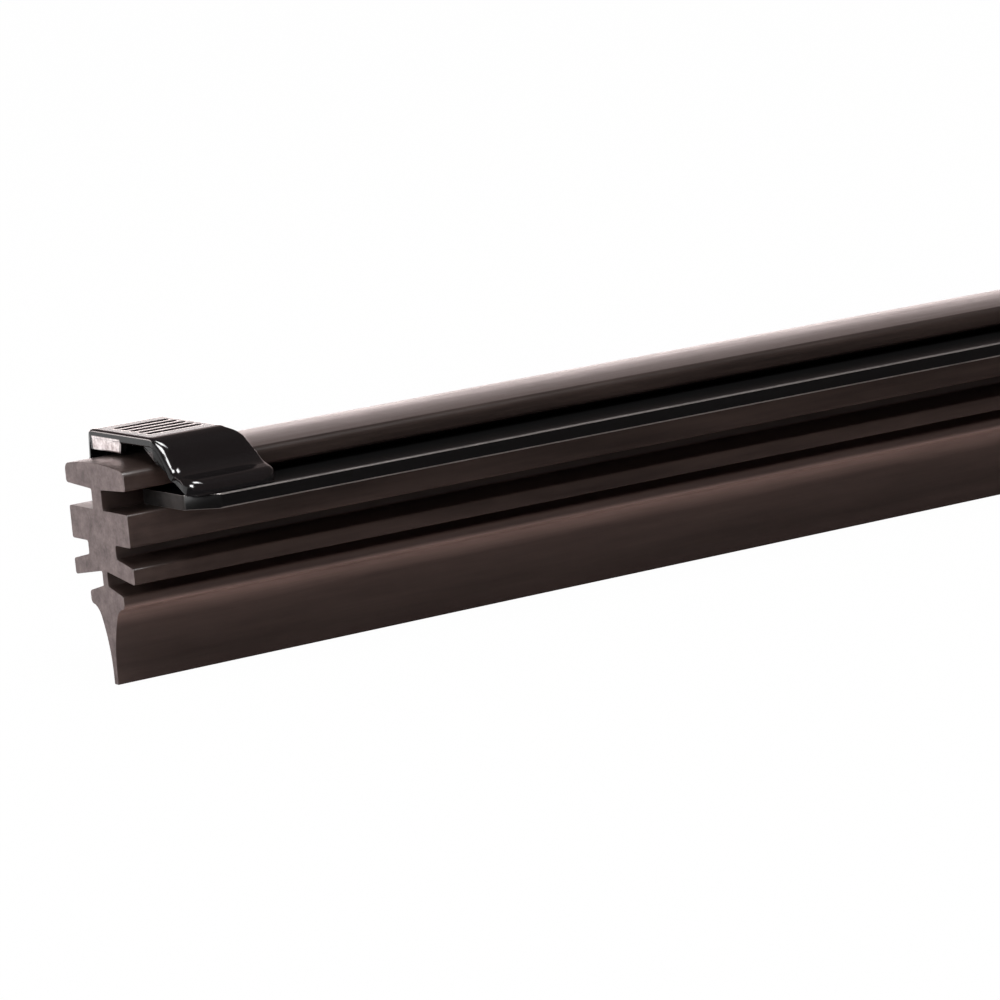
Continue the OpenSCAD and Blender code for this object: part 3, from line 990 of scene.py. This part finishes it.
def staged(name, mesh, material):
    """An object that is part of the studio and not of the blade."""
    data = bpy.data.meshes.new(name)
    mesh.to_mesh(data)
    mesh.free()
    data.materials.append(material)
    data.shade_smooth()
    thing = bpy.data.objects.new(name, data)
    bpy.context.scene.collection.objects.link(thing)
    return thing


# %% [markdown]
# ## Laying the floor and the sweep
# Both are drawn in metres, since they are the size of a table. The sweep is a sheet that lies
# flat and then curves up, as in a photographer's studio, so that no corner shows behind the blade.

# %% A white floor and a white sweep behind
FLOOR_HALF = 4.0
SWEEP_NEAR, SWEEP_FAR, SWEEP_TOP = 0.012, 1.6, 0.42
SWEEP_ENDS = (-3.0, 3.5)
# The lip hangs this far above the floor and the sweep, in millimetres
FLOOR_GAP, SWEEP_GAP = 0.02, 0.01

floor_mesh = bmesh.new()
bmesh.ops.create_grid(floor_mesh, x_segments=1, y_segments=1, size=FLOOR_HALF)
floor = staged("floor", floor_mesh, paper_material("white_paper", 0.05))
floor.location.z = cad_low.z - FLOOR_GAP * MM

sweep_mesh = bmesh.new()
sweep_line = [(SWEEP_NEAR, 0.0)] + [
    (SWEEP_FAR + SWEEP_TOP * math.sin(a), SWEEP_TOP * (1 - math.cos(a)))
    for a in (math.radians(degrees) for degrees in range(0, 91, 10))]
sweep_rows = [[sweep_mesh.verts.new((x, y, z)) for y, z in sweep_line] for x in SWEEP_ENDS]
skinned(sweep_mesh, sweep_rows, closed=False)
sweep = staged("sweep", sweep_mesh, paper_material("white_sweep", 0.9))
sweep.location.z = cad_low.z - SWEEP_GAP * MM
print("floor:", 2 * FLOOR_HALF, "m wide, sweep:", SWEEP_TOP, "m high")

# %% [markdown]
# ## The room
# The room in front of the blade is dim and slightly warm, which gives the black sides their
# brownish cast. An image of a studio would do the same, but a plain world needs no file. The
# camera alone sees it as white, above the floor's far edge.

# %% A dim, warm room
ROOM_LIGHT = 0.15

world = bpy.data.worlds.new("studio")
bpy.context.scene.world = world
world.use_nodes = True
tree = world.node_tree
tree.nodes.clear()
ray = add_node(tree, "ShaderNodeLightPath")
level = add_node(tree, "ShaderNodeMapRange", {"To Min": ROOM_LIGHT, "To Max": 1.0},
                 {"Value": ray.outputs["Is Camera Ray"]})
shade = add_node(tree, "ShaderNodeMix", {
    "data_type": "RGBA", 6: linear("#ffe4df"), 7: linear("#ffffff")},
    {0: ray.outputs["Is Camera Ray"]})
sky = add_node(tree, "ShaderNodeBackground", {},
               {"Color": shade.outputs[2], "Strength": level.outputs[0]})
add_node(tree, "ShaderNodeOutputWorld", {}, {"Surface": sky.outputs[0]})
print("room light:", ROOM_LIGHT)

# %% [markdown]
# ## Lights
# In the photograph the light comes from behind and from the left: the tops and the cut end are
# bright, and the side towards the camera is nearly black. The white table in front throws a
# little light up, which reaches the lip and the body but not the head above the strips. Point
# lamps would draw hard shadows, so all are soft, and each one is given the brightness that its
# reflection should have.

# %% Soft lamps
near_end = Vector((rubber_low.x, 0, 0))


def soft_lamp(name, place, facing, size, brightness, colour):
    """A rectangular lamp at a place, which shines against the direction given."""
    lamp = bpy.data.lights.new(name, "AREA")
    lamp.shape = "RECTANGLE"
    lamp.size, lamp.size_y = size
    lamp.energy = brightness * math.pi * size[0] * size[1]
    lamp.color = linear(colour)[:3]
    box = bpy.data.objects.new(name, lamp)
    box.location = place
    box.rotation_euler = facing.to_track_quat("Z", "Y").to_euler()
    box.visible_camera = False
    bpy.context.scene.collection.objects.link(box)
    return box


def softbox(name, direction, distance, size, brightness, colour):
    """A soft lamp that faces the blade's near end from that direction."""
    way = Vector(direction).normalized()
    return soft_lamp(name, near_end + way * distance, way, size, brightness, colour)


# %% [markdown]
# ## Placing the lamps
# The two back lights give the tops their sheen, the left light the far edges, and the key and
# side lights the cut end and the enamel. The two glints only show in glossy surfaces: they make
# the small highlights on the enamel white without more light on the rubber. The table's light is
# a lamp that lies on the floor and faces up, and shows in no reflection.

# %% Every lamp: direction, distance, size, brightness and colour
softbox("back_light", (0.534, 0.829, 0.057), 1.2, (1.6, 0.15), 3.8, "#ffe9e6")
softbox("high_back_light", (0.534, 0.829, 0.33), 1.2, (1.6, 0.32), 0.55, "#ffe9e6")
softbox("left_light", (-0.6, 0.8, 0.1), 0.9, (0.35, 0.35), 5.5, "#fff0ee")
softbox("key_light", (-0.05, -0.35, 0.93), 1.2, (0.9, 0.6), 8.0, "#ffffff")
softbox("side_light", (-0.81, -0.42, 0.37), 1.2, (0.5, 0.4), 8.0, "#ffffff")
GLINT = 17.0
for name, direction, size in (
        ("side_glint", (-0.81, -0.42, 0.37), (0.55, 0.45)),
        ("key_glint", (-0.12, -0.35, 0.93), (0.55, 0.6))):
    glint = softbox(name, direction, 1.25, size, GLINT, "#ffffff")
    glint.visible_diffuse = False

TABLE_PLACE = Vector((0, -0.034, cad_low.z - 0.005 * MM))
table_light = soft_lamp("table_light", TABLE_PLACE, Vector((0, 0, -1)), (0.4, 0.06), 1.0,
                        "#ffe9e2")
table_light.visible_glossy = False
print("lamps:", len(bpy.data.lights))

# %% [markdown]
# ## Camera
# The camera was fitted to the blade's long straight edges in the photograph, since moving it by
# eye never gets its place and its lens right together. It looks down on the near end by 9.5
# degrees and is rolled by a few degrees, with a long lens.

# %% The fitted camera
AZIMUTH = math.radians(-32.755)
ELEVATION = math.radians(9.527)
ROLL = math.radians(-5.338)
FOCAL_LENGTH = 167.21
# Where the camera stands, in millimetres from the middle of the rubber's near end
CAMERA_PLACE = (-124.004, -235.672, 42.46)

back = Vector((
    math.sin(AZIMUTH) * math.cos(ELEVATION),
    -math.cos(AZIMUTH) * math.cos(ELEVATION),
    math.sin(ELEVATION)))
right = Vector((-back.y, back.x, 0)).normalized()
up = back.cross(right)
rolled_right = right * math.cos(ROLL) + up * math.sin(ROLL)
rolled_up = up * math.cos(ROLL) - right * math.sin(ROLL)

camera = bpy.data.objects.new("camera", bpy.data.cameras.new("camera"))
camera.data.lens = FOCAL_LENGTH
camera.data.sensor_width = 36
camera.data.clip_start = 0.01
camera.data.clip_end = 20
turned_camera = Matrix((rolled_right, rolled_up, back)).transposed().to_4x4()
camera.matrix_world = Matrix.Translation(near_end + Vector(CAMERA_PLACE) * MM) @ turned_camera
bpy.context.scene.collection.objects.link(camera)
bpy.context.scene.camera = camera
bpy.context.scene.view_settings.view_transform = "Standard"
print("camera at:", [round(v, 4) for v in camera.matrix_world.translation])
